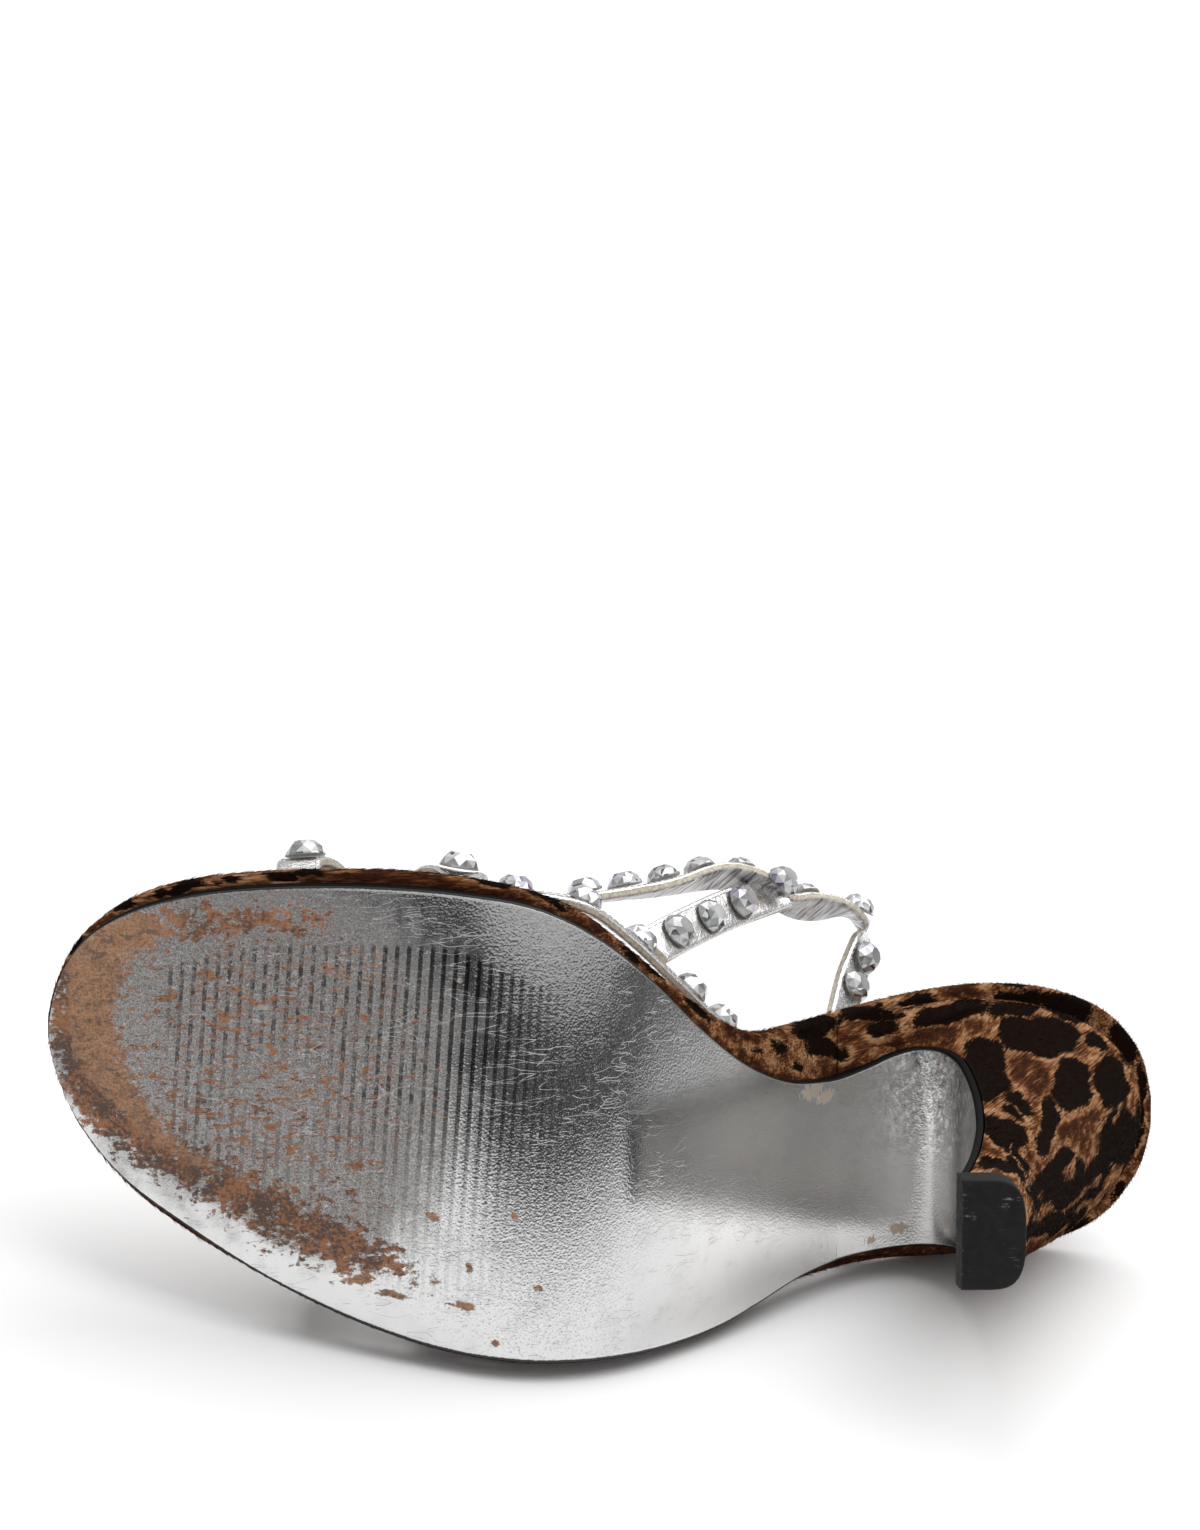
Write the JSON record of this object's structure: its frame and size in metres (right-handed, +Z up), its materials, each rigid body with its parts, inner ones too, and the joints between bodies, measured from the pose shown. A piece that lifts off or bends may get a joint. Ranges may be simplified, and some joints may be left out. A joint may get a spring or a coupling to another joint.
{
  "type": "stiletto sandal",
  "caption": "High-heeled slip-on sandal with a web of narrow stone-set straps, a thin leather sole and a slim forward-curved heel, lying on its outer side.",
  "frame": {"origin": "middle of the footprint, on the floor that the shoe lies on", "axes": "+Z up from the floor, -X towards the toe, -Y the way the sole looks; the inner side of the foot is uppermost"},
  "size_m": [0.2098, 0.1046, 0.0796],
  "materials": {
    "silver_leather": "metallic silver, worn at the toe",
    "hair_calf": "short hair with dark spots",
    "black_rubber": "scuffed matt",
    "strap_leather": "metallic silver",
    "crystal": "foil-backed, faceted, clear grey"
  },
  "bodies": {
    "root": {"insole": "hair_calf", "outsole": "silver_leather", "heel": "hair_calf", "top_piece": "black_rubber", "upper": "strap_leather", "crystal_01": "crystal", "crystal_02": "crystal", "crystal_03": "crystal", "crystal_04": "crystal", "crystal_05": "crystal", "crystal_06": "crystal", "crystal_07": "crystal", "crystal_08": "crystal", "crystal_09": "crystal", "crystal_10": "crystal", "crystal_11": "crystal", "crystal_12": "crystal", "crystal_13": "crystal", "crystal_14": "crystal", "crystal_15": "crystal", "crystal_16": "crystal", "crystal_17": "crystal", "crystal_18": "crystal", "crystal_19": "crystal", "crystal_20": "crystal", "crystal_21": "crystal", "crystal_22": "crystal", "crystal_23": "crystal", "crystal_24": "crystal", "crystal_25": "crystal", "crystal_26": "crystal", "crystal_27": "crystal", "crystal_28": "crystal", "crystal_29": "crystal", "crystal_30": "crystal", "crystal_31": "crystal", "crystal_32": "crystal", "crystal_33": "crystal", "crystal_34": "crystal", "crystal_35": "crystal", "crystal_36": "crystal", "crystal_37": "crystal", "crystal_38": "crystal", "crystal_39": "crystal", "crystal_40": "crystal", "crystal_41": "crystal", "crystal_42": "crystal", "crystal_43": "crystal", "crystal_44": "crystal", "crystal_45": "crystal", "crystal_46": "crystal", "crystal_47": "crystal", "crystal_48": "crystal", "crystal_49": "crystal", "crystal_50": "crystal", "crystal_51": "crystal", "crystal_52": "crystal"}
  },
  "joints": []
}
